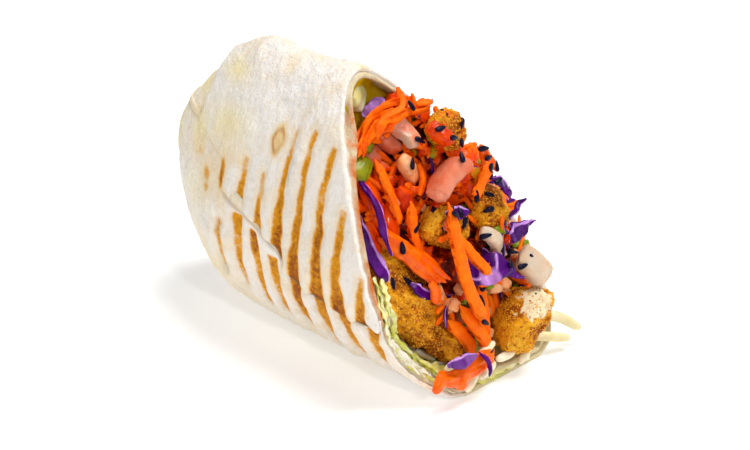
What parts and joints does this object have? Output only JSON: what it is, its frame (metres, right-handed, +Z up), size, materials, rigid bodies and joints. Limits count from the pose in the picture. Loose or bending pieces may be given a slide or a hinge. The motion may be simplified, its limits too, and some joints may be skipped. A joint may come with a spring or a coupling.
{
  "type": "chicken burrito",
  "caption": "Half of a grilled chicken burrito cut on the slant, with its folded end closed and its mixed filling showing at the cut.",
  "frame": {"origin": "on the surface it rests on, under the middle of the half's bounding box", "axes": "+X runs along the wrap from the closed, folded end to the cut; +Z is up; -Y is the grilled side with the loose edge of the tortilla"},
  "size_m": [0.1158, 0.066, 0.0822],
  "materials": {
    "tortilla": "matt, floury, with amber grill marks",
    "mixed_filling": "moist mix of lettuce, rice and orange sauce",
    "chicken": "crisp, crumbed and fried",
    "carrot": "moist, grated",
    "cabbage": "waxy leaf with paler cut edges",
    "tomato": "wet flesh",
    "onion": "wet, slightly translucent",
    "pepper": "waxy skin",
    "pickle": "wet, translucent",
    "sprout": "moist"
  },
  "bodies": {
    "root": {"cabbage_arc": "cabbage", "cabbage_big": "cabbage", "cabbage_centre": "cabbage", "cabbage_curl": "cabbage", "cabbage_edge": "cabbage", "cabbage_inner": "cabbage", "cabbage_left_lower": "cabbage", "cabbage_left_upper": "cabbage", "cabbage_low": "cabbage", "cabbage_middle": "cabbage", "cabbage_top": "cabbage", "cabbage_wing": "cabbage", "carrot_back_long": "carrot", "carrot_back_short": "carrot", "carrot_branch": "carrot", "carrot_drip": "carrot", "carrot_left": "carrot", "carrot_long": "carrot", "carrot_low_left": "carrot", "carrot_low_right": "carrot", "carrot_middle": "carrot", "carrot_on_lip": "carrot", "carrot_right": "carrot", "carrot_sauced": "carrot", "carrot_top_left": "carrot", "carrot_top_spike": "carrot", "chicken_back": "chicken", "chicken_front": "chicken", "chicken_middle": "chicken", "chicken_right": "chicken", "chicken_top": "chicken", "mixed_filling": "mixed_filling", "onion_block": "onion", "onion_inner": "onion", "onion_middle": "onion", "onion_strip": "onion", "onion_top": "onion", "pepper_piece": "pepper", "pickle_end": "pickle", "pickle_slice": "pickle", "sprout_lower": "sprout", "sprout_upper": "sprout", "tomato_back": "tomato", "tomato_big": "tomato", "tomato_deep": "tomato", "tomato_left": "tomato", "tomato_low": "tomato", "tomato_middle": "tomato", "tortilla": "tortilla"}
  },
  "joints": []
}
